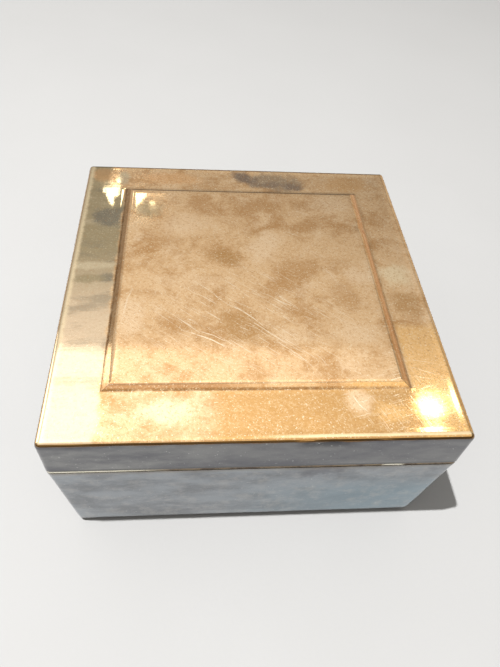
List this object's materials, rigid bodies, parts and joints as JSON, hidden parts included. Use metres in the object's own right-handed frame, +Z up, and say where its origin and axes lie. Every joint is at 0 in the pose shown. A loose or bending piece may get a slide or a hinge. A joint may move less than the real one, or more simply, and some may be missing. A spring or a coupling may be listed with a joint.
{
  "type": "square hinged metal table box",
  "caption": "Square pressed-metal table box with a hinged lid, a raised square panel on the lid and a wood-lined inside.",
  "frame": {"origin": "on the table, under the middle of the box", "axes": "+Z up, the front faces -Y, the hinge runs along X at the back, +X is to the right seen from the front"},
  "size_m": [0.12, 0.124, 0.0597],
  "materials": {
    "worn_plate": "worn, scratched plate with golden metal showing through on top and grey plate on the skirt",
    "grey_plate": "dull grey plate over brass sheet",
    "bright_brass": "bright, rubbed",
    "hinge_brass": "plain, tarnished",
    "pin_steel": "drawn wire",
    "cedar": "planed and unvarnished",
    "green_felt": "pressed felt"
  },
  "bodies": {
    "base": {"base_shell": "grey_plate", "rim_bead": "bright_brass", "base_pad": "green_felt", "base_lining_floor": "cedar", "base_lining_front": "cedar", "base_lining_back": "cedar", "base_lining_left": "cedar", "base_lining_right": "cedar", "hinge_leaf_base": "hinge_brass", "hinge_pin": "pin_steel"},
    "lid": {"lid_cover": "worn_plate", "lid_lining_ceiling": "cedar", "lid_lining_front": "cedar", "lid_lining_back": "cedar", "lid_lining_left": "cedar", "lid_lining_right": "cedar", "hinge_leaf_lid": "hinge_brass"}
  },
  "joints": [
    {"name": "lid_hinge", "type": "hinge", "parent": "base", "child": "lid", "pos_m": [0, 0.06025, 0.043], "axis": [-1, 0, 0], "range_deg": [0, 100]}
  ]
}
